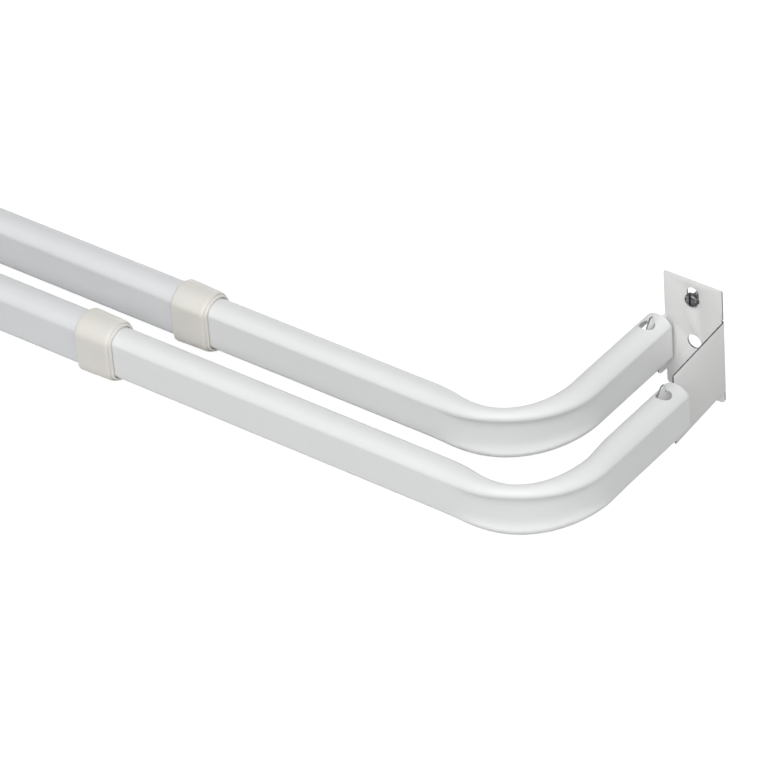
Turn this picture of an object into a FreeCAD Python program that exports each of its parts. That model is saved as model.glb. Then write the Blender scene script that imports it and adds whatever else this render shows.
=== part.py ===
import FreeCAD, Part
import math
import os

from FreeCAD import Vector

# An extending double curtain pole of white rolled steel. Each of its two rods is an inner channel from the right
# bracket that slides inside a larger outer channel from the left bracket. Both channels bend back to the wall and
# hook on the tongues of a folded sheet bracket. Sizes are in millimetres. The origin is on the wall face of the
# right bracket, on the axis of its lower screw hole. +X runs along the rods to the right, +Y goes into the wall.

# How long the pole is
closed_bracket_spacing = 672.0      # between the middles of the two wall plates, pushed right together
pulled_out = 96.0                   # how far the left half is drawn out from there

# Where the rods run
rod_level = -2.45                   # height of the rods' middle line against the lower screw hole
back_run_distance = 82.0            # from the wall to the middle line of the back rod
front_run_distance = 115.0
front_bend_radius = 32.0            # at the middle line
back_bend_radius = 34.0

# Section of the inner rod, over its outer surface
rod_depth = 11.5
rod_height = 20.9
rod_wall = 0.4
corner_radius = 2.0
corner_turn = 33.0                  # degrees that each corner turns, the crowned top takes the rest
lip_drop = 1.0                      # straight part of the back below each back corner
lip_radius = 0.8
lip_turn = 110.0

# Depth that the section loses from its back where the rod is bent: at two places before the bend, at each 15 degrees
# of it and at two places after it. The places stand evenly on the straight length next to the bend that is named here.
squeezed_length = 12.0
front_squeeze = [0.0, 0.5, 1.8, 3.9, 5.2, 4.3, 2.6, 1.4, 1.2, 0.6, 0.0]
back_squeeze = [0.0, 0.5, 1.8, 3.9, 5.2, 4.3, 2.5, 0.9, 0.1, 0.0, 0.0]

# Fits
sliding_clearance = 0.25            # between the inner and the outer rod
collar_clearance = 0.1              # between the outer rod and its collar
rod_end_clearance = 0.3             # between a rod's end and the bracket's shoulder
tip_clearance = 3.0                 # pushed together, between an inner rod's tip and the bend it runs up to
collar_stop_clearance = 1.75        # pushed together, between the back collar and the bend it runs up to

# Collars on the ends of the outer rods
collar_length = 16.2
collar_wall = 1.7                   # at the left end
collar_taper = 0.4                  # of its outer surface, less at the right end
collar_lip = 1.0                    # thickness of the end wall that covers the outer rod's edge
front_collar_setback = 19.2         # how much further from the right the front collar stands

# Hooking hole in the top of each rod's end
hole_radius = 3.0
hole_set = 7.6                      # from the rod's end to the middle of the hole

# Bracket sheet
sheet = 0.8
sheet_bend_radius = 0.8             # inside
plate_width = 25.4
plate_top = 27.4                    # above the lower screw hole
plate_bottom = -23.4
plate_top_corner = 0.5
plate_bottom_corner = 1.5
arm_outset = 0.9                    # of the arm's and the back tongue's outer faces beyond the plate's edges
relief = 0.5                        # height of the notches at both ends of each fold
lower_hole_radius = 3.0
slot_width = 5.2
slot_length = 8.4
slot_middle = 20.2                  # above the lower screw hole

# Arm to the front rod
arm_top = 13.9
arm_bottom = -16.9
arm_drop = 3.2                      # how much lower both of its edges end at the front
arm_reach = 33.6                    # of its front shoulder from the wall

# Root of the back tongue
root_reach = 2.0                    # of the shoulder that stops the back rod
root_bottom = -17.4
root_lip_reach = 5.8                # of the rounded corner that shows below the back rod
root_lip_rounding = 2.0
root_lip_gap = 1.0                  # between that corner and the inner rod's underside

# Tongues, the same for both rods
tongue_top_gap = 0.15               # above a tongue, under the top of the inner rod
tongue_bottom = 8.0                 # below the rod's middle line
tongue_offset = 1.3                 # of the rod's middle plane outward from the tongue's
barb_height = 2.8                   # above the rod's top
barb_flat = 2.0                     # length of its level top
barb_clearance = 0.2                # between the barb and the rim of the hole
barb_slope = 54.0                   # degrees of its leading edge
barb_rounding = 0.5
tongue_tip_rounding = 1.5

# Screws
screw_head_radius = 2.85
screw_head_height = 2.0
screw_head_rounding = 1.4
screw_slot_width = 0.8
screw_slot_depth = 0.9
screw_radius = 1.5
screw_length = 9.0
screw_point = 3.5
screw_above_slot_end = 1.85         # clearance under the shank in the plate's slot

# Worked out from those
outer_skin = sliding_clearance + rod_wall
collar_skin = outer_skin + collar_clearance
tongue_plane = plate_width / 2 + arm_outset - sheet / 2
return_offset = tongue_plane + tongue_offset
bracket_spacing = closed_bracket_spacing + pulled_out
front_straight_from = front_bend_radius + squeezed_length
back_straight_from = back_bend_radius + squeezed_length


def arc(centre, radius, start, turn):
    """Points at the start, middle and end of an arc, with angles in degrees."""
    angles = [math.radians(start + turn * share) for share in (0, 0.5, 1)]
    return [(centre[0] + radius * math.cos(a), centre[1] + radius * math.sin(a)) for a in angles]


def crown(depth):
    """Radius of the crowned top of a section of this depth, and half the height of the flat front face below it."""
    turn = math.radians(corner_turn)
    chord = depth - 2 * corner_radius * (1 - math.cos(turn))
    radius = chord / (2 * math.cos(turn))
    rise = radius * (1 - math.sin(turn))
    return radius, rod_height / 2 - rise - corner_radius * math.sin(turn)


def half_outline(depth, skin, open_back):
    """The upper half of a rod's outline from the middle of its front face, as lists of 2 or 3 points.

    The first coordinate goes out through the front face and the second goes up. skin is the distance outside the
    inner rod's outer surface. A depth below rod_depth is taken from the back.
    """
    crown_radius, face_half = crown(depth)
    front = rod_depth / 2
    back = front - depth
    crown_centre = ((front + back) / 2, rod_height / 2 - crown_radius)
    pieces = [
        [(front + skin, 0), (front + skin, face_half)],
        arc((front - corner_radius, face_half), corner_radius + skin, 0, corner_turn),
        arc(crown_centre, crown_radius + skin, corner_turn, 180 - 2 * corner_turn),
        arc((back + corner_radius, face_half), corner_radius + skin, 180 - corner_turn, corner_turn),
    ]
    if open_back:
        lip_start = face_half - lip_drop
        pieces.append([(back - skin, face_half), (back - skin, lip_start)])
        pieces.append(arc((back + lip_radius, lip_start), lip_radius + skin, 180, lip_turn))
    else:
        pieces.append([(back - skin, face_half), (back - skin, 0)])
    return pieces


def full_outline(depth, skin, open_back):
    """The whole outline, from the lower end round the front to the upper end."""
    upper = half_outline(depth, skin, open_back)
    lower = [[(u, -v) for u, v in reversed(piece)] for piece in reversed(upper)]
    face = [lower[-1][0], upper[0][-1]]
    return lower[:-1] + [face] + upper[1:]


def edge(points):
    """A straight edge through two points or an arc through three."""
    if len(points) == 2:
        return Part.LineSegment(points[0], points[1]).toShape()
    return Part.Arc(points[0], points[1], points[2]).toShape()


def channel_wire(depth, inner, outer, place):
    """The closed wire of a channel's section between two skins, put in space by place(u, v)."""
    outside = full_outline(depth, outer, True)
    inside = [list(reversed(piece)) for piece in reversed(full_outline(depth, inner, True))]
    rim_up = [outside[-1][-1], inside[0][0]]
    rim_down = [inside[-1][-1], outside[0][0]]
    pieces = outside + [rim_up] + inside + [rim_down]
    return Part.Wire([edge([place(u, v) for u, v in piece]) for piece in pieces])


def sleeve_wire(skin, x, run_distance):
    """The closed outline of a sleeve round a rod's run, at a skin."""
    back = full_outline(rod_depth, skin, False)
    closed = back[1:-1] + [[back[-2][-1], back[1][0]]]
    return Part.Wire([edge([Vector(x, -run_distance - u, rod_level + v) for u, v in piece]) for piece in closed])


def bend_stations(corner, along, radius):
    """Places of the squeezed sections through a bend: x, y and the turn in radians."""
    centre_x = corner - radius
    centre_y = along + radius
    before = [(centre_x - squeezed_length * share, along, 0.0) for share in (1.0, 0.5)]
    turns = [math.radians(turn) for turn in range(0, 91, 15)]
    bend = [(centre_x + radius * math.sin(a), centre_y - radius * math.cos(a), a) for a in turns]
    after = [(corner, centre_y + squeezed_length * share, math.pi / 2) for share in (0.5, 1.0)]
    return before + bend + after


def bent_rod(side, run_distance, run_end, inner, outer):
    """A channel that runs along X from run_end, bends and returns along Y to its end at the bracket."""
    corner = side * return_offset
    return_end = -rod_end_at(side)
    radius = front_bend_radius if side > 0 else back_bend_radius
    losses = front_squeeze if side > 0 else back_squeeze

    def at(x, y, turn):
        return lambda u, v: Vector(x + u * math.sin(turn), y - u * math.cos(turn), rod_level + v)

    stations = bend_stations(corner, -run_distance, radius)
    wires = [channel_wire(rod_depth - loss, inner, outer, at(*place)) for place, loss in zip(stations, losses)]
    bend = Part.makeLoft(wires, True, False)
    full_stop = stations[0][0]
    full_again = stations[-1][1]
    run = Part.Face(wires[0]).extrude(Vector(run_end - full_stop, 0, 0))
    back = Part.Face(wires[-1]).extrude(Vector(0, return_end - full_again, 0))
    rod = run.fuse([bend, back]).removeSplitter()
    hole_top = rod_level + rod_height
    hole = Part.makeCylinder(hole_radius, rod_height, Vector(corner, return_end - hole_set, hole_top),
                             Vector(0, 0, -1))
    return rod.cut(hole)


def mirrored(shape):
    """The same shape, left for right, about the origin's own plane."""
    return shape.mirror(Vector(0, 0, 0), Vector(1, 0, 0))


def to_left(shape):
    """A right-hand shape as its mirror image at the left bracket."""
    turned = mirrored(shape)
    turned.translate(Vector(-bracket_spacing, 0, 0))
    return turned


def round_corners(corners):
    """A closed wire in the plane of the points, with its corners rounded by the radius given with each."""
    count = len(corners)
    pieces = []
    ends = []
    for i in range(count):
        point, radius = corners[i]
        before = (corners[i - 1][0] - point).normalize()
        after = (corners[(i + 1) % count][0] - point).normalize()
        if radius == 0:
            ends.append((point, point))
            continue
        half = before.getAngle(after) / 2
        reach = radius / math.tan(half)
        start = point + before * reach
        end = point + after * reach
        bisector = (before + after).normalize()
        middle = point + bisector * (radius / math.sin(half) - radius)
        ends.append((start, end))
        pieces.append((i, Part.Arc(start, middle, end).toShape()))
    edges = []
    arcs = dict(pieces)
    for i in range(count):
        if i in arcs:
            edges.append(arcs[i])
        start = ends[i][1]
        end = ends[(i + 1) % count][0]
        edges.append(Part.LineSegment(start, end).toShape())
    return Part.Wire(edges)


def wall_plate():
    """The flat plate on the wall with its slot and its lower hole."""
    half = plate_width / 2
    corners = [
        (Vector(-half, 0, plate_bottom), plate_bottom_corner),
        (Vector(half, 0, plate_bottom), plate_bottom_corner),
        (Vector(half, 0, plate_top), plate_top_corner),
        (Vector(-half, 0, plate_top), plate_top_corner),
    ]
    plate = Part.Face(round_corners(corners)).extrude(Vector(0, -sheet, 0))
    through = Vector(0, 1, 0)
    hole = Part.makeCylinder(lower_hole_radius, 3 * sheet, Vector(0, -2 * sheet, 0), through)
    end_offset = (slot_length - slot_width) / 2
    slot_radius = slot_width / 2
    slot = Part.makeBox(slot_width, 3 * sheet, 2 * end_offset,
                        Vector(-slot_radius, -2 * sheet, slot_middle - end_offset))
    for side in (-1, 1):
        end = Vector(0, -2 * sheet, slot_middle + side * end_offset)
        slot = slot.fuse(Part.makeCylinder(slot_radius, 3 * sheet, end, through))
    return plate.cut(hole).cut(slot)


def folded_edge(bottom, top):
    """The quarter fold at the plate's right edge between two heights, and the space that it and its reliefs clear."""
    outer = sheet + sheet_bend_radius
    face_x = plate_width / 2 + arm_outset
    centre = Vector(face_x - outer, -outer, bottom)
    up = Vector(0, 0, 1)
    fold = Part.makeCylinder(outer, top - bottom, centre, up, 90)
    fold = fold.cut(Part.makeCylinder(sheet_bend_radius, top - bottom, centre, up, 90))
    cleared = Part.makeBox(outer, 3 * sheet, top - bottom + 2 * relief,
                           Vector(face_x - outer, -2 * sheet, bottom - relief))
    return fold, cleared


def side_sheet(corners):
    """A flat sheet on the right side of the bracket, from (distance from the wall, height, rounding) corners."""
    face_x = plate_width / 2 + arm_outset
    points = [(Vector(face_x, -distance, height), rounding) for distance, height, rounding in corners]
    return Part.Face(round_corners(points)).extrude(Vector(-sheet, 0, 0))


def tongue_corners(shoulder):
    """Corners of a barbed tongue from its shoulder's underside round to its upper notch."""
    under_crown = crown(rod_depth)[0] - rod_wall
    crown_fall = under_crown - math.sqrt(under_crown ** 2 - (tongue_offset + sheet / 2) ** 2)
    top = rod_level + rod_height / 2 - rod_wall - crown_fall - tongue_top_gap
    bottom = rod_level - tongue_bottom
    peak = rod_level + rod_height / 2 + barb_height
    half_chord = math.sqrt(hole_radius ** 2 - (tongue_offset + sheet / 2) ** 2)
    barb_back = shoulder + rod_end_clearance + hole_set - half_chord + barb_clearance
    barb_front = barb_back + barb_flat
    tip = barb_front + (peak - bottom) / math.tan(math.radians(barb_slope))
    return [
        (shoulder, bottom, 0),
        (tip, bottom, tongue_tip_rounding),
        (barb_front, peak, barb_rounding),
        (barb_back, peak, barb_rounding),
        (barb_back, top, 0),
        (shoulder, top, 0),
    ]


def bracket():
    """The right bracket."""
    fold_end = sheet + sheet_bend_radius
    arm_fold, arm_cleared = folded_edge(arm_bottom, arm_top)
    arm = side_sheet(
        [(fold_end, arm_top, 0), (fold_end, arm_bottom, 0), (arm_reach, arm_bottom - arm_drop, 0)]
        + tongue_corners(arm_reach) + [(arm_reach, arm_top - arm_drop, 0)])
    tongue = tongue_corners(root_reach)
    root_top = tongue[-1][1]
    lip_top = rod_level - rod_height / 2 - root_lip_gap
    root_fold, root_cleared = folded_edge(root_bottom, root_top)
    root = side_sheet(
        [(fold_end, root_top, 0), (fold_end, root_bottom, 0), (root_lip_reach, root_bottom, root_lip_rounding),
         (root_lip_reach, lip_top, 0), (root_reach, lip_top, 0)] + tongue[:-1] + [(root_reach, root_top, 0)])
    plate = wall_plate().cut(arm_cleared).cut(mirrored(root_cleared))
    return plate.fuse([arm_fold, arm, mirrored(root_fold), mirrored(root)]).removeSplitter()


def inner_rod(side, run_distance):
    """An inner rod of the right half. side is 1 for the front rod and -1 for the back rod."""
    straight_from = front_straight_from if side > 0 else back_straight_from
    left_corner = -closed_bracket_spacing - side * return_offset
    tip = left_corner + straight_from + tip_clearance
    return bent_rod(side, run_distance, tip, -rod_wall, 0)


def rod_end_at(side):
    """Distance from the wall of the end of the front (1) or back (-1) rod's return."""
    shoulder = arm_reach if side > 0 else root_reach
    return shoulder + rod_end_clearance


def collar_right(side):
    """X of the right face of the front (1) or back (-1) collar."""
    back = -return_offset - back_straight_from - collar_stop_clearance - pulled_out
    return back - front_collar_setback if side > 0 else back


def outer_rod(side, run_distance):
    """An outer rod of the left half, built right-handed and then mirrored to the left bracket."""
    end = collar_right(side) - collar_lip
    run_end = -end - bracket_spacing
    return to_left(bent_rod(side, run_distance, run_end, sliding_clearance, outer_skin))


def collar(side, run_distance):
    """The tapered sleeve on the end of an outer rod, with an end wall that covers the rod's edge."""
    right = collar_right(side)
    left = right - collar_length
    outside = Part.makeLoft([sleeve_wire(collar_skin + collar_wall, left, run_distance),
                             sleeve_wire(collar_skin + collar_wall - collar_taper, right, run_distance)], True, True)
    bore = Part.Face(sleeve_wire(collar_skin, left, run_distance)).extrude(Vector(collar_length - collar_lip, 0, 0))
    mouth = Part.Face(sleeve_wire(sliding_clearance, left, run_distance)).extrude(Vector(collar_length, 0, 0))
    return outside.cut(bore.fuse(mouth)).removeSplitter()


def screw():
    """The slotted pan head screw of the right bracket, with its axis along Y and no thread."""
    height = slot_middle - (slot_length - slot_width) / 2 + screw_radius + screw_above_slot_end - slot_width / 2
    head_under = -sheet
    head_top = head_under - screw_head_height
    end = head_under + screw_length
    profile = [
        (Vector(0, head_top, 0), 0),
        (Vector(screw_head_radius, head_top, 0), screw_head_rounding),
        (Vector(screw_head_radius, head_under, 0), 0),
        (Vector(screw_radius, head_under, 0), 0),
        (Vector(screw_radius, end - screw_point, 0), 0),
        (Vector(0, end, 0), 0),
    ]
    body = Part.Face(round_corners(profile)).revolve(Vector(0, 0, 0), Vector(0, 1, 0), 360)
    slot = Part.makeBox(screw_slot_width, screw_slot_depth, 2 * screw_head_radius,
                        Vector(-screw_slot_width / 2, head_top, -screw_head_radius))
    body = body.cut(slot)
    body.translate(Vector(0, 0, height))
    return body


def save(name, shape):
    """Writes one sub-part and prints what it is."""
    shape.exportStep("parts/" + name + ".step")
    box = shape.BoundBox
    print(name, "solids", len(shape.Solids), "valid", shape.isValid(), "volume", round(shape.Volume, 1),
          "box", [round(v, 2) for v in (box.XMin, box.XMax, box.YMin, box.YMax, box.ZMin, box.ZMax)])


os.makedirs("parts", exist_ok=True)
save("bracket_right", bracket())
save("bracket_left", to_left(bracket()))
save("screw_right", screw())
save("screw_left", to_left(screw()))
for place, side, distance in (("front", 1, front_run_distance), ("back", -1, back_run_distance)):
    save("inner_rod_" + place, inner_rod(side, distance))
    save("outer_rod_" + place, outer_rod(side, distance))
    save("collar_" + place, collar(side, distance))
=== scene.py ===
import math

import bmesh
import bpy
from mathutils import Matrix, Vector


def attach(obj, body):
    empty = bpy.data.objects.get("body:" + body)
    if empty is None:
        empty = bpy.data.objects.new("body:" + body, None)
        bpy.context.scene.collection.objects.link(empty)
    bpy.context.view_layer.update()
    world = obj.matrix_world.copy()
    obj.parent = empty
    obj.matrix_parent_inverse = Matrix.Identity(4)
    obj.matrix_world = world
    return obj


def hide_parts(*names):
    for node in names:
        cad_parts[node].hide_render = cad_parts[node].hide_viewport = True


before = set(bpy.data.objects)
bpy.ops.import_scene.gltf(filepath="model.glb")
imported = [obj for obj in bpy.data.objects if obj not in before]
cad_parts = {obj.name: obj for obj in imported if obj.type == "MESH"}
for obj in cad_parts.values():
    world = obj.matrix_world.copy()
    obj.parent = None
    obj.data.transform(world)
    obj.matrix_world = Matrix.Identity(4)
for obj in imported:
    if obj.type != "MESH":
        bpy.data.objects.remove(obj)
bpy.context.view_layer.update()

# Sizes are in millimetres, the same as the solids have. +X runs along the rods to the right, +Y into the wall
# and +Z up. The origin is on the right bracket's wall face, on the axis of its lower screw hole.
MM = 0.001
BRACKET_SPACING = 768.0
SIDES = (("right", "right_half", 0.0), ("left", "left_half", -BRACKET_SPACING))   # with the plate's middle
ROD_LEVEL = -2.45
RUN_DISTANCE = {"front": 115.0, "back": 82.0}    # from the wall to the middle of a run
RETURN_OFFSET = {"front": 14.5, "back": -14.5}   # from the plate's middle to the middle of a return
BEND_RADIUS = {"front": 32.0, "back": 34.0}
INNER_TIP = {"front": -639.5, "back": -608.5}    # the inner rods' hidden left tips
ROD_END = {"front": -33.9, "back": -2.3}         # the returns' ends, along Y
HOLE_RADIUS = 3.0
HOLE_SET = 7.6                                   # from a return's end to the middle of its hooking hole

# Section of the inner rod
ROD_DEPTH = 11.5
ROD_HEIGHT = 20.9
ROD_WALL = 0.4
CORNER_RADIUS = 2.0
CORNER_TURN = math.radians(33.0)
LIP_DROP = 1.0
LIP_RADIUS = 0.8
LIP_TURN = math.radians(110.0)
SLIDING_CLEARANCE = 0.25                         # from the inner rod's surface to the inside of the outer rod
OUTER_SKIN = 0.65                                # and to its outside

# Bends. Depth is lost at two places before the bend, at each 15 degrees of it and at two places after it.
SQUEEZED_LENGTH = 12.0
SQUEEZE = {
    "front": [0.0, 0.5, 1.8, 3.9, 5.2, 4.3, 2.6, 1.4, 1.2, 0.6, 0.0],
    "back": [0.0, 0.5, 1.8, 3.9, 5.2, 4.3, 2.5, 0.9, 0.1, 0.0, 0.0],
}
BEND_FIRST = 2                                   # place in those lists where the bend begins
BEND_LAST = 8                                    # and where it ends
ROLL_TURN = math.radians(28.0)                   # how far the edge rolls turn under there
ROLL_IN = (0.8, 2.4)                             # place where they begin to, and places until they have
ROLL_OUT = (6.0, 3.0)                            # the same where they go back
FACE_POWER = 4                                   # how the front face dishes between its rolls there

# Steps of the rods' meshes
FACE_STEPS = 8
ROLL_STEPS = 8
CROWN_STEPS = 20
BACK_ROLL_STEPS = 6
BACK_STEPS = 4
LIP_STEPS = 8
RUN_STEPS = 24
BEND_STEPS = 10                                  # for each place in the lists of lost depth
RETURN_STEPS = 12
HOLE_SIDES = 64

# Collars. Each row of the profile is a place from the collar's right end, a distance outside the inner rod's
# surface and a rounding.
COLLAR_RIGHT = {"front": -177.45, "back": -158.25}
COLLAR_LENGTH = 16.2
COLLAR_LIP = 1.0
COLLAR_SKIN = 0.75
COLLAR_WALL = 1.7
COLLAR_TAPER = 0.4
COLLAR_END_SKIN = COLLAR_SKIN + COLLAR_WALL - COLLAR_TAPER
COLLAR_PROFILE = [
    (-COLLAR_LENGTH, COLLAR_SKIN, 0.2),                  # left end of the bore
    (-COLLAR_LENGTH, COLLAR_SKIN + COLLAR_WALL, 0.8),    # left end of the outside
    (-2.4, COLLAR_END_SKIN, 0.5),                        # where the outside turns into the end ring
    (-1.45, COLLAR_END_SKIN - 0.25, 0.45),               # shoulder of the ring
    (-1.1, 1.42, 0.12),                                  # edge of the ring
    (-1.4, 1.32, 0.08),                                  # groove behind that edge
    (-1.4, 1.18, 0.08),                                  # bottom of the groove
    (0.0, 1.18, 0.4),                                    # outside of the lip
    (0.0, SLIDING_CLEARANCE, 0.3),                       # inside of the lip
    (-COLLAR_LIP, SLIDING_CLEARANCE, 0.1),               # back of the lip
    (-COLLAR_LIP, COLLAR_SKIN, 0.0),                     # right end of the bore
]

# Brackets
PLATE_HALF_WIDTH = 12.7
PLATE_TOP = 27.4
PLATE_BOTTOM = -23.4
ROOT_REACH = 2.0
SHEET = 0.8
FOLD = 1.6
ARM_FACE = 13.6
BROKEN_EDGE = 0.07                               # how far a sharp edge is broken
PLATE_END_BAND = 0.1                             # a face this close to the plate's top or bottom is its end
TOUCHING = 0.01                                  # faces closer than this are taken to meet
LOOKS_ALONG = 0.3                                # a normal's least share of the axis its face looks along
LOOKS_STRAIGHT = 0.999                           # the same for a face that is square to the axis
SAME_POINT = 1e-7                                # in metres
FLAT = math.radians(0.5)                         # triangles that turn less than this become one face
BROKEN_TURN = math.radians(40.0)                 # edges that turn more than this are broken

# Screws
SCREW_LEVEL = 19.35
SCREW_HEAD_RADIUS = 2.85
SCREW_HEAD_HEIGHT = 2.0
SCREW_HEAD_ROUNDING = 1.4
SCREW_HEAD_RIM = 0.15                            # rounding of the head's back edge
SCREW_SLOT_WIDTH = 0.8
SCREW_SLOT_DEPTH = 0.9
SCREW_SLOT_ROUNDING = 0.06
SCREW_SLOT_ABOVE = 1.0                           # how far the slot's cutter stands above the head
SCREW_RADIUS = 1.5
SCREW_ROOT = 1.1
SCREW_LENGTH = 9.0
SCREW_POINT = 3.5
SCREW_TIP = 0.02
THREAD_PITCH = 1.25
THREAD_FLANK = 0.36                              # share of the pitch from a crest to its root
THREAD_START = 1.0
THREAD_RUN_IN = 1.2
SCREW_SIDES = 48
HEAD_STEPS = 8
SHANK_STEPS = 110

# Edges that turn more than this stay sharp in the shading
ROD_SHARP = math.radians(38.0)
COLLAR_SHARP = math.radians(50.0)
BRACKET_SHARP = math.radians(30.0)
SCREW_SHARP = math.radians(35.0)

CUT_EDGE = 1                                     # place of the bare metal in a sheet's list of materials

# Surroundings, in metres
FLOOR_LEVEL = -0.0236
FLOOR_HALF_SIZE = 30.0
FLOOR_COLOUR = (0.42, 0.42, 0.42, 1.0)
FLOOR_GLOW = 0.85                                # added for the rays that show the background
WHITE = (1.0, 1.0, 1.0, 1.0)
SKY_MIDDLE = 0.135                               # how bright the sky is square to its brightest point
SKY_GAIN = 0.08                                  # how much brighter it is at that point
SKY_LEAST = 0.05
SKY_BRIGHTEST = (0.10, -0.30, 0.95)
MIDDLE = (-0.1, -0.08, 0.0)
LAMPS = {                                        # place, target, width and height, watts
    "front": ((0.45, -1.50, 1.45), MIDDLE, (2.0, 1.3), 31.0),
    "right_high": ((1.35, -0.35, 1.55), MIDDLE, (1.6, 1.3), 11.0),
    "left_high": ((-1.20, -1.20, 1.50), MIDDLE, (1.2, 1.0), 3.0),
    "wall_side": ((-0.7, 2.3, 0.35), (-0.3, -0.08, 0.0), (2.2, 1.1), 14.0),
}

# Camera: its axes and place, and the focal length in pixels of a picture this wide
CAMERA_RIGHT = Vector((0.799499, 0.597190, -0.064547))
CAMERA_UP = Vector((-0.321229, 0.515887, 0.794149))
CAMERA_BACK = Vector((0.507556, -0.614187, 0.604286))
CAMERA_PLACE = (0.842336, -1.199622, 1.099984)
FOCAL_PIXELS = 5000.0
PICTURE_WIDTH = 768.0
SENSOR_WIDTH = 36.0
CLIP = (0.1, 60.0)


# Materials

class Nodes:
    """A short way to build a node tree."""

    def __init__(self, tree):
        self.tree = tree
        tree.nodes.clear()

    def add(self, kind, values=None, **settings):
        node = self.tree.nodes.new(kind)
        for name, value in settings.items():
            setattr(node, name, value)
        for socket, value in (values or {}).items():
            self.put(node.inputs[socket], value)
        return node

    def put(self, socket, value):
        if isinstance(value, bpy.types.NodeSocket):
            self.tree.links.new(value, socket)
        else:
            socket.default_value = value

    def math(self, operation, a, b):
        return self.add("ShaderNodeMath", {0: a, 1: b}, operation=operation).outputs[0]

    def noise(self, where, scale, detail, stretch=(1.0, 1.0, 1.0)):
        mapped = self.add("ShaderNodeMapping", {"Vector": where, "Scale": stretch}).outputs[0]
        values = {"Vector": mapped, "Scale": scale, "Detail": detail}
        return self.add("ShaderNodeTexNoise", values).outputs["Fac"]

    def spread(self, value, low=0.0, high=1.0, from_low=0.3, from_high=0.7):
        """The value stretched from one range to another and kept inside it."""
        values = {"Value": value, "From Min": from_low, "From Max": from_high, "To Min": low, "To Max": high}
        return self.add("ShaderNodeMapRange", values).outputs["Result"]

    def blend(self, share, first, second):
        node = self.add("ShaderNodeMix", data_type="RGBA")
        for place, value in ((0, share), (6, first), (7, second)):
            self.put(node.inputs[place], value)
        return node.outputs[2]

    def bump(self, height, strength, distance):
        values = {"Height": height, "Strength": strength, "Distance": distance}
        return self.add("ShaderNodeBump", values).outputs[0]


def material(name):
    made = bpy.data.materials.new(name)
    made.use_nodes = True
    return made, Nodes(made.node_tree)


def surface(name):
    """A new material, its nodes and the object's own coordinates in it."""
    made, nodes = material(name)
    return made, nodes, nodes.add("ShaderNodeTexCoord").outputs["Object"]


def rgb(red, green, blue):
    return (red, green, blue, 1.0)


def finish_surface(nodes, values):
    shader = nodes.add("ShaderNodeBsdfPrincipled", values)
    nodes.add("ShaderNodeOutputMaterial", {"Surface": shader.outputs[0]})


def enamel(name, colour, shade, roughness, grain=(1.0, 1.0, 1.0)):
    """Smooth baked paint: broad faint colour clouds, a light orange peel and a few dull handling marks."""
    made, nodes, where = surface(name)
    clouds = nodes.spread(nodes.noise(where, scale=45.0, detail=4.0))
    marks = nodes.spread(nodes.noise(where, scale=160.0, detail=6.0, stretch=grain),
                         from_low=0.56, from_high=0.72)
    cloudy = nodes.blend(nodes.math("MULTIPLY", clouds, 0.55), colour, shade)
    dull = nodes.spread(nodes.noise(where, scale=90.0, detail=5.0, stretch=grain),
                        low=roughness - 0.015, high=roughness + 0.02)
    peel = nodes.noise(where, scale=1400.0, detail=2.0)
    faint_marks = nodes.math("MULTIPLY", marks, 0.03)
    finish_surface(nodes, {
        "Base Color": nodes.blend(faint_marks, cloudy, rgb(0.70, 0.70, 0.69)),
        "Roughness": nodes.math("ADD", dull, faint_marks),
        "Normal": nodes.bump(peel, strength=0.05, distance=0.0001),
        "Specular IOR Level": 0.36,
        "Coat Weight": 0.08,
        "Coat Roughness": 0.25,
    })
    return made


def bare_edge(name, colour, shade):
    """Sheared steel at a cut edge: fine scored lines across the sheet, with dark oxide between."""
    made, nodes, where = surface(name)
    scoring = nodes.noise(where, scale=2600.0, detail=3.0, stretch=(1.0, 1.0, 0.35))
    oxide = nodes.spread(nodes.noise(where, scale=500.0, detail=4.0))
    finish_surface(nodes, {
        "Base Color": nodes.blend(oxide, colour, shade),
        "Roughness": nodes.spread(scoring, low=0.38, high=0.58),
        "Metallic": 0.85,
        "Normal": nodes.bump(scoring, strength=0.25, distance=0.0001),
    })
    return made


def cream_plastic():
    """Moulded plastic with a faint satin grain and slightly yellower patches."""
    made, nodes, where = surface("collar_plastic_cream")
    patches = nodes.spread(nodes.noise(where, scale=60.0, detail=3.0))
    grain = nodes.noise(where, scale=1900.0, detail=3.0)
    finish_surface(nodes, {
        "Base Color": nodes.blend(patches, rgb(0.815, 0.795, 0.752), rgb(0.795, 0.772, 0.722)),
        "Roughness": nodes.spread(grain, low=0.36, high=0.46),
        "Normal": nodes.bump(grain, strength=0.06, distance=0.0001),
        "Subsurface Weight": 0.05,
        "Subsurface Scale": 0.001,
    })
    return made


def dark_nickel():
    """Dark plated steel, rubbed bright in spots and finely grained."""
    made, nodes, where = surface("screw_dark_nickel")
    rubbed = nodes.spread(nodes.noise(where, scale=900.0, detail=5.0), from_low=0.45, from_high=0.68)
    grain = nodes.noise(where, scale=3000.0, detail=2.0)
    finish_surface(nodes, {
        "Base Color": nodes.blend(rubbed, rgb(0.085, 0.085, 0.090), rgb(0.34, 0.34, 0.35)),
        "Roughness": nodes.spread(rubbed, low=0.45, high=0.28, from_low=0.0, from_high=1.0),
        "Metallic": 0.9,
        "Normal": nodes.bump(grain, strength=0.2, distance=0.00005),
    })
    return made


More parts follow.
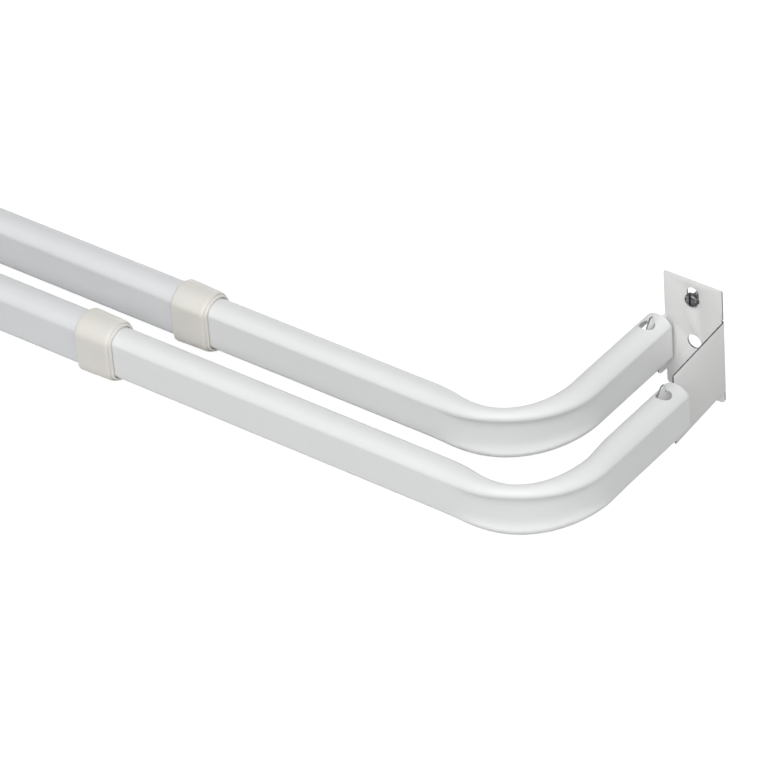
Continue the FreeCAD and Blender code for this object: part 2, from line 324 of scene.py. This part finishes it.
# The outer rods' paint is a little darker than the inner ones' as painted shade, standing in for the light
# that falls off towards the left end, and it is a little bluer
ROD_GRAIN = (0.12, 0.12, 1.0)
ROD_PAINT = enamel("rod_enamel_white", rgb(0.852, 0.860, 0.860), rgb(0.838, 0.848, 0.847), 0.45, ROD_GRAIN)
OUTER_ROD_PAINT_SHADED = enamel("outer_rod_enamel_painted_shade", rgb(0.786, 0.800, 0.810), rgb(0.772, 0.788, 0.798), 0.45,
                         ROD_GRAIN)
BRACKET_PAINT = enamel("bracket_enamel_white", rgb(0.880, 0.882, 0.870), rgb(0.864, 0.867, 0.854), 0.44)
ROD_EDGE = bare_edge("rod_cut_edge", rgb(0.52, 0.53, 0.54), rgb(0.36, 0.36, 0.37))
BRACKET_EDGE = bare_edge("bracket_cut_edge", rgb(0.20, 0.21, 0.23), rgb(0.09, 0.09, 0.10))
COLLAR_PLASTIC = cream_plastic()
SCREW_METAL = dark_nickel()


# Meshes

def finished(made, name):
    """The mesh with what a bmesh holds."""
    mesh = bpy.data.meshes.new(name)
    made.to_mesh(mesh)
    made.free()
    return mesh


def put_on(name, mesh, body, nodes, materials):
    """Adds a finished mesh as the piece that stands for a solid."""
    piece = bpy.data.objects.new(name, mesh)
    bpy.context.scene.collection.objects.link(piece)
    for made in materials:
        mesh.materials.append(made)
    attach(piece, body)
    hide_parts(*nodes)
    return piece


def smooth(mesh, sharp_angle):
    """Smooth shading that keeps edges sharper than the angle."""
    made = bmesh.new()
    made.from_mesh(mesh)
    for face in made.faces:
        face.smooth = True
    for edge in made.edges:
        if len(edge.link_faces) == 2:
            edge.smooth = edge.calc_face_angle(0.0) < sharp_angle
    made.to_mesh(mesh)
    made.free()


def join_rings(made, first, second):
    """A band of faces between two rings of points, and the faces in their order."""
    count = len(first)
    return [made.faces.new((first[i], first[(i + 1) % count], second[(i + 1) % count], second[i]))
            for i in range(count)]


def arc_points(centre, radius, start, turn, count):
    """Points of an arc after its first one, with their outward directions."""
    points = []
    for i in range(1, count + 1):
        angle = start + turn * i / count
        out = (math.cos(angle), math.sin(angle))
        points.append((centre[0] + radius * out[0], centre[1] + radius * out[1], out[0], out[1]))
    return points


def crown(depth):
    """Radius of the crowned top of a section of this depth, and half the height of the flat front face."""
    chord = depth - 2 * CORNER_RADIUS * (1 - math.cos(CORNER_TURN))
    radius = chord / (2 * math.cos(CORNER_TURN))
    rise = radius * (1 - math.sin(CORNER_TURN))
    return radius, ROD_HEIGHT / 2 - rise - CORNER_RADIUS * math.sin(CORNER_TURN)


def face_points(front, face_half, roll):
    """The front face from its middle up to where the roll begins. It is flat, or dished between the rolls."""
    top_u = front - CORNER_RADIUS * (1 - math.cos(roll))
    top_v = face_half - CORNER_RADIUS * math.sin(roll)
    dish = top_v * math.tan(roll) / FACE_POWER
    points = []
    for i in range(FACE_STEPS + 1):
        share = i / FACE_STEPS
        tilt = math.atan(FACE_POWER * dish / top_v * share ** (FACE_POWER - 1))
        u = top_u - dish * (1 - share ** FACE_POWER)
        points.append((u, top_v * share, math.cos(tilt), -math.sin(tilt)))
    return points


def half_section(depth, roll, closed):
    """The section's upper half, from the middle of its front to its back, as (u, v, normal u, normal v)."""
    radius, face_half = crown(depth)
    front = ROD_DEPTH / 2
    back = front - depth
    points = face_points(front, face_half, roll)
    points += arc_points((front - CORNER_RADIUS, face_half), CORNER_RADIUS, -roll, CORNER_TURN + roll,
                         ROLL_STEPS)
    points += arc_points(((front + back) / 2, ROD_HEIGHT / 2 - radius), radius, CORNER_TURN,
                         math.pi - 2 * CORNER_TURN, CROWN_STEPS)
    points += arc_points((back + CORNER_RADIUS, face_half), CORNER_RADIUS, math.pi - CORNER_TURN, CORNER_TURN,
                         BACK_ROLL_STEPS)
    if closed:
        points += [(back, face_half * i / BACK_STEPS, -1.0, 0.0) for i in reversed(range(BACK_STEPS))]
        return points
    lip_start = face_half - LIP_DROP
    points.append((back, lip_start, -1.0, 0.0))
    points += arc_points((back + LIP_RADIUS, lip_start), LIP_RADIUS, math.pi, LIP_TURN, LIP_STEPS)
    return points


def section(depth, roll, skin, closed=False):
    """The whole outline, at a distance outside the inner rod's surface, from its lower to its upper end."""
    upper = half_section(depth, roll, closed)
    lower = [(u, -v, nu, -nv) for u, v, nu, nv in reversed(upper[1:])]
    if closed:
        lower = lower[1:]
    return [(u + skin * nu, v + skin * nv) for u, v, nu, nv in lower + upper]


def ease(share):
    share = min(max(share, 0.0), 1.0)
    return share * share * (3 - 2 * share)


def between(values, where):
    """A smooth curve through a list of values, read at a place that counts from its first value."""
    i = min(int(where), len(values) - 2)
    share = where - i
    a, b, c, d = (values[min(max(k, 0), len(values) - 1)] for k in (i - 1, i, i + 1, i + 2))
    return b + share * (c - a + share * (2 * a - 5 * b + 4 * c - d + share * (3 * (b - c) + d - a))) / 2


def stations(place, run_end):
    """Where a right-hand rod's sections stand: origin, turn, depth lost and share of the roll."""
    corner = RETURN_OFFSET[place]
    along = -RUN_DISTANCE[place]
    radius = BEND_RADIUS[place]
    squeeze = SQUEEZE[place]
    last = len(squeeze) - 1
    centre_x = corner - radius
    centre_y = along + radius
    start = centre_x - SQUEEZED_LENGTH
    end = centre_y + SQUEEZED_LENGTH
    rings = [(run_end + (start - run_end) * i / RUN_STEPS, along, 0.0, 0.0, 0.0) for i in range(RUN_STEPS)]
    for i in range(last * BEND_STEPS + 1):
        where = i / BEND_STEPS
        if where < BEND_FIRST:
            at = (start + SQUEEZED_LENGTH * where / BEND_FIRST, along, 0.0)
        elif where <= BEND_LAST:
            turn = math.pi / 2 * (where - BEND_FIRST) / (BEND_LAST - BEND_FIRST)
            at = (centre_x + radius * math.sin(turn), centre_y - radius * math.cos(turn), turn)
        else:
            after = SQUEEZED_LENGTH * (where - BEND_LAST) / (last - BEND_LAST)
            at = (corner, centre_y + after, math.pi / 2)
        rolled = ease((where - ROLL_IN[0]) / ROLL_IN[1]) * (1.0 - ease((where - ROLL_OUT[0]) / ROLL_OUT[1]))
        rings.append((*at, between(squeeze, where), rolled))
    rings += [(corner, end + (ROD_END[place] - end) * i / RETURN_STEPS, math.pi / 2, 0.0, 0.0)
              for i in range(1, RETURN_STEPS + 1)]
    return rings


def ring_points(station, inner, outer):
    """One closed ring round the channel's sheet: along its outside and then back along its inside."""
    x, y, turn, lost, rolled = station
    depth = ROD_DEPTH - lost
    roll = ROLL_TURN * rolled
    outline = section(depth, roll, outer) + list(reversed(section(depth, roll, inner)))
    return [((x + u * math.sin(turn)) * MM, (y - u * math.cos(turn)) * MM, (ROD_LEVEL + v) * MM)
            for u, v in outline]


def mirrored():
    """Takes a right-hand shape to the left end."""
    return Matrix.Translation((-BRACKET_SPACING * MM, 0, 0)) @ Matrix.Diagonal((-1, 1, 1, 1))


def rod_mesh(place, run_end, inner, outer, left):
    """A bent channel with a hooking hole in the top of its end, between two distances from the surface."""
    made = bmesh.new()
    rings = [[made.verts.new(point) for point in ring_points(station, inner, outer)]
             for station in stations(place, run_end)]
    count = len(rings[0])
    half = count // 2
    for first, second in zip(rings, rings[1:]):
        band = join_rings(made, first, second)
        for i in (half - 1, count - 1):
            band[i].material_index = CUT_EDGE
    for ring in (rings[0], rings[-1]):
        for i in range(half - 1):
            face = made.faces.new((ring[i], ring[i + 1], ring[count - 2 - i], ring[count - 1 - i]))
            face.material_index = CUT_EDGE
    bmesh.ops.recalc_face_normals(made, faces=made.faces)
    mesh = cut_hole(finished(made, "rod"), RETURN_OFFSET[place], ROD_END[place] - HOLE_SET)
    if left:
        mesh.transform(mirrored())
        mesh.flip_normals()
    smooth(mesh, ROD_SHARP)
    return mesh


def cut_away(mesh, cutter_mesh, place):
    """The mesh with the cutter's shape taken out. Two spare materials keep the faces' material places."""
    body = bpy.data.objects.new("body", mesh)
    cutter = bpy.data.objects.new("cutter", cutter_mesh)
    cutter.matrix_world = place
    for made in (body, cutter):
        bpy.context.scene.collection.objects.link(made)
        for spare in ("spare_0", "spare_1"):
            made.data.materials.append(bpy.data.materials.get(spare) or bpy.data.materials.new(spare))
    modifier = body.modifiers.new("cut", "BOOLEAN")
    modifier.operation = "DIFFERENCE"
    modifier.solver = "EXACT"
    modifier.object = cutter
    bpy.context.view_layer.update()
    shape = bpy.data.meshes.new_from_object(body.evaluated_get(bpy.context.evaluated_depsgraph_get()))
    shape.materials.clear()
    for made in (body, cutter):
        bpy.data.objects.remove(made)
    return shape


def cut_hole(mesh, x, y):
    """A round hole through the top wall of a rod's end. The hole's own wall is bare metal."""
    drill = bmesh.new()
    bmesh.ops.create_cone(drill, cap_ends=True, segments=HOLE_SIDES, radius1=HOLE_RADIUS * MM,
                          radius2=HOLE_RADIUS * MM, depth=ROD_HEIGHT * MM,
                          matrix=Matrix.Translation((0, 0, ROD_HEIGHT * MM / 2)))
    for face in drill.faces:
        face.material_index = CUT_EDGE
    return cut_away(mesh, finished(drill, "drill"), Matrix.Translation((x * MM, y * MM, ROD_LEVEL * MM)))


def rods():
    for place in ("front", "back"):
        inner = rod_mesh(place, INNER_TIP[place], -ROD_WALL, 0.0, False)
        put_on("inner_rod_" + place + "_sheet", inner, "right_half", ["inner_rod_" + place],
               [ROD_PAINT, ROD_EDGE])
        mirrored_end = -(COLLAR_RIGHT[place] - COLLAR_LIP) - BRACKET_SPACING
        outer = rod_mesh(place, mirrored_end, SLIDING_CLEARANCE, OUTER_SKIN, True)
        put_on("outer_rod_" + place + "_sheet", outer, "left_half", ["outer_rod_" + place],
               [OUTER_ROD_PAINT_SHADED, ROD_EDGE])


def rounded(corners, count=5):
    """A profile with its corners rounded: each corner is a place, a distance and a rounding."""
    points = []
    total = len(corners)
    for i in range(total):
        x, skin, radius = corners[i]
        if radius == 0:
            points.append((x, skin))
            continue
        here = Vector((x, skin))
        before = (Vector(corners[i - 1][:2]) - here).normalized()
        after = (Vector(corners[(i + 1) % total][:2]) - here).normalized()
        for k in range(count + 1):
            share = k / count
            near = here + before * radius * (1 - share)
            far = here + after * radius * share
            points.append(tuple(near.lerp(far, share)))
    return points


def collar_mesh(place):
    """A tapered moulded sleeve whose end has a rounded ring, a thin groove and a lip round the inner rod."""
    made = bmesh.new()
    loops = []
    for x, skin in rounded(COLLAR_PROFILE):
        loops.append([made.verts.new(((COLLAR_RIGHT[place] + x) * MM, (-RUN_DISTANCE[place] - u) * MM,
                                      (ROD_LEVEL + v) * MM))
                      for u, v in section(ROD_DEPTH, 0.0, skin, closed=True)])
    for first, second in zip(loops, loops[1:] + loops[:1]):
        join_rings(made, first, second)
    bmesh.ops.recalc_face_normals(made, faces=made.faces)
    mesh = finished(made, "collar")
    smooth(mesh, COLLAR_SHARP)
    return mesh


def collars():
    for place in ("front", "back"):
        put_on("collar_" + place + "_moulding", collar_mesh(place), "left_half",
               ["collar_" + place], [COLLAR_PLASTIC])


def is_cut_edge(face, plate_x, hand):
    """Whether a face of the bracket is a bare cut edge. The plate's ends and the root's top are painted."""
    normal = face.normal
    middle = face.calc_center_median() / MM
    across = abs(middle.x - plate_x)
    depth = -middle.y
    if abs(normal.z) > LOOKS_ALONG:
        plate_end = middle.z > PLATE_TOP - PLATE_END_BAND or middle.z < PLATE_BOTTOM + PLATE_END_BAND
        root_top = (middle.x - plate_x) * hand < -ARM_FACE + FOLD and depth < ROOT_REACH and middle.z > 0
        return not (plate_end or root_top)
    if depth < SHEET and across < PLATE_HALF_WIDTH + TOUCHING and abs(normal.x) > LOOKS_ALONG:
        in_fold = across > ARM_FACE - FOLD - TOUCHING and abs(normal.x) < LOOKS_STRAIGHT
        return not in_fold
    return depth > FOLD and abs(normal.y) > LOOKS_ALONG


def bracket_mesh(node, plate_x):
    """The folded sheet with its sharp edges broken."""
    made = bmesh.new()
    made.from_mesh(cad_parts[node].data)
    bmesh.ops.remove_doubles(made, verts=made.verts, dist=SAME_POINT)
    bmesh.ops.dissolve_limit(made, angle_limit=FLAT, verts=made.verts, edges=made.edges)
    bmesh.ops.recalc_face_normals(made, faces=made.faces)
    hand = 1 if plate_x == 0 else -1
    for face in made.faces:
        face.material_index = CUT_EDGE if is_cut_edge(face, plate_x, hand) else 0
    sharp = [edge for edge in made.edges
             if len(edge.link_faces) == 2 and edge.calc_face_angle(0.0) > BROKEN_TURN]
    bmesh.ops.bevel(made, geom=sharp, offset=BROKEN_EDGE * MM, offset_type="OFFSET", segments=2, profile=0.5,
                    affect="EDGES", clamp_overlap=True)
    mesh = finished(made, "bracket")
    smooth(mesh, BRACKET_SHARP)
    return mesh


def brackets():
    for side, body, plate_x in SIDES:
        mesh = bracket_mesh("bracket_" + side, plate_x)
        put_on("bracket_" + side + "_sheet", mesh, body, ["bracket_" + side],
               [BRACKET_PAINT, BRACKET_EDGE])


def screw_radius_at(depth, angle):
    """Radius of the threaded shank at a depth behind the head and an angle round the axis."""
    phase = (depth / THREAD_PITCH - angle / math.tau) % 1.0
    crest = max(0.0, 1.0 - abs(phase - 0.5) / THREAD_FLANK)
    run_in = ease((depth - THREAD_START) / THREAD_RUN_IN)
    to_point = min(1.0, (SCREW_LENGTH - depth) / SCREW_POINT)
    radius = SCREW_ROOT + (SCREW_RADIUS - SCREW_ROOT) * crest * run_in
    return max(radius * to_point, SCREW_TIP)


def driver_slot():
    """The shape that cuts the driver slot, round its own middle."""
    made = bmesh.new()
    size = Vector((SCREW_SLOT_WIDTH, SCREW_SLOT_DEPTH + SCREW_SLOT_ABOVE, 4 * SCREW_HEAD_RADIUS)) * MM
    bmesh.ops.create_cube(made, size=1.0, matrix=Matrix.Diagonal((*size, 1.0)))
    bmesh.ops.bevel(made, geom=made.edges[:], offset=SCREW_SLOT_ROUNDING * MM, segments=2, affect="EDGES")
    return finished(made, "slot")


def screw_mesh(plate_x, mirror):
    """A pan head screw with a driver slot and a cut thread, its axis along Y."""
    head = rounded([(-SCREW_HEAD_HEIGHT, 0.0, 0.0),
                    (-SCREW_HEAD_HEIGHT, SCREW_HEAD_RADIUS, SCREW_HEAD_ROUNDING),
                    (0.0, SCREW_HEAD_RADIUS, SCREW_HEAD_RIM),
                    (0.0, SCREW_ROOT, 0.0)], HEAD_STEPS)
    angles = [math.tau * i / SCREW_SIDES for i in range(SCREW_SIDES)]
    rings = [[(depth, radius, angle) for angle in angles] for depth, radius in head[1:]]
    for k in range(1, SHANK_STEPS + 1):
        depth = SCREW_LENGTH * k / SHANK_STEPS
        rings.append([(depth, screw_radius_at(depth, angle), angle) for angle in angles])
    made = bmesh.new()
    rows = [[made.verts.new((radius * math.cos(angle) * MM, (depth - SHEET) * MM,
                             radius * math.sin(angle) * MM))
             for depth, radius, angle in ring] for ring in rings]
    for first, second in zip(rows, rows[1:]):
        join_rings(made, first, second)
    made.faces.new(rows[0])
    made.faces.new(rows[-1])
    bmesh.ops.recalc_face_normals(made, faces=made.faces)
    slot_bottom = -SHEET - SCREW_HEAD_HEIGHT + SCREW_SLOT_DEPTH
    slot_middle = slot_bottom - (SCREW_SLOT_DEPTH + SCREW_SLOT_ABOVE) / 2
    mesh = cut_away(finished(made, "screw"), driver_slot(), Matrix.Translation((0, slot_middle * MM, 0)))
    if mirror:
        mesh.transform(Matrix.Diagonal((-1, 1, 1, 1)))
        mesh.flip_normals()
    mesh.transform(Matrix.Translation((plate_x * MM, 0, SCREW_LEVEL * MM)))
    smooth(mesh, SCREW_SHARP)
    return mesh


def screws():
    for side, body, plate_x in SIDES:
        put_on("screw_" + side + "_threaded", screw_mesh(plate_x, side == "left"), body,
               ["screw_" + side], [SCREW_METAL])


# Surroundings

def background_rays(nodes):
    """1 for rays that show the background, straight or in a reflection."""
    path = nodes.add("ShaderNodeLightPath")
    seen = nodes.math("MAXIMUM", path.outputs["Is Camera Ray"], path.outputs["Is Glossy Ray"])
    return nodes.math("MAXIMUM", seen, path.outputs["Is Transmission Ray"])


def sky():
    world = bpy.data.worlds.new("studio")
    bpy.context.scene.world = world
    world.use_nodes = True
    nodes = Nodes(world.node_tree)
    direction = nodes.add("ShaderNodeTexCoord").outputs["Generated"]
    towards = nodes.add("ShaderNodeVectorMath", {0: direction, 1: SKY_BRIGHTEST}, operation="DOT_PRODUCT")
    gained = nodes.math("MULTIPLY", towards.outputs["Value"], SKY_GAIN)
    light = nodes.math("MAXIMUM", nodes.math("ADD", gained, SKY_MIDDLE), SKY_LEAST)
    strength = nodes.math("MAXIMUM", light, background_rays(nodes))
    background = nodes.add("ShaderNodeBackground", {"Color": WHITE, "Strength": strength})
    nodes.add("ShaderNodeOutputWorld", {"Surface": background.outputs[0]})


def ground():
    """A pale floor that takes the object's shadow and looks nearly white behind it."""
    floor_material, nodes = material("studio_floor")
    matt = nodes.add("ShaderNodeBsdfPrincipled",
                     {"Base Color": FLOOR_COLOUR, "Roughness": 0.9, "Specular IOR Level": 0.1})
    strength = nodes.math("MULTIPLY", background_rays(nodes), FLOOR_GLOW)
    glow = nodes.add("ShaderNodeEmission", {"Color": WHITE, "Strength": strength})
    both = nodes.add("ShaderNodeAddShader", {0: matt.outputs[0], 1: glow.outputs[0]})
    nodes.add("ShaderNodeOutputMaterial", {"Surface": both.outputs[0]})
    made = bmesh.new()
    bmesh.ops.create_grid(made, x_segments=1, y_segments=1, size=FLOOR_HALF_SIZE)
    mesh = finished(made, "floor")
    mesh.materials.append(floor_material)
    floor = bpy.data.objects.new("floor", mesh)
    floor.location = (0, 0, FLOOR_LEVEL)
    bpy.context.scene.collection.objects.link(floor)


def softbox(name, place, target, size, power):
    lamp = bpy.data.lights.new(name, "AREA")
    lamp.shape = "RECTANGLE"
    lamp.size, lamp.size_y = size
    lamp.energy = power
    made = bpy.data.objects.new(name, lamp)
    made.location = place
    made.rotation_mode = "QUATERNION"
    made.rotation_quaternion = (Vector(target) - Vector(place)).to_track_quat("-Z", "Y")
    bpy.context.scene.collection.objects.link(made)


def camera():
    """The photograph's view, with a long lens."""
    data = bpy.data.cameras.new("camera")
    data.sensor_width = SENSOR_WIDTH
    data.lens = SENSOR_WIDTH * FOCAL_PIXELS / PICTURE_WIDTH
    data.clip_start, data.clip_end = CLIP
    made = bpy.data.objects.new("camera", data)
    made.matrix_world = Matrix((CAMERA_RIGHT, CAMERA_UP, CAMERA_BACK)).transposed().to_4x4()
    made.location = CAMERA_PLACE
    bpy.context.scene.collection.objects.link(made)
    bpy.context.scene.camera = made


rods()
collars()
brackets()
screws()
sky()
ground()
for lamp_name, lamp_values in LAMPS.items():
    softbox(lamp_name, *lamp_values)
camera()
bpy.context.scene.view_settings.view_transform = "Standard"
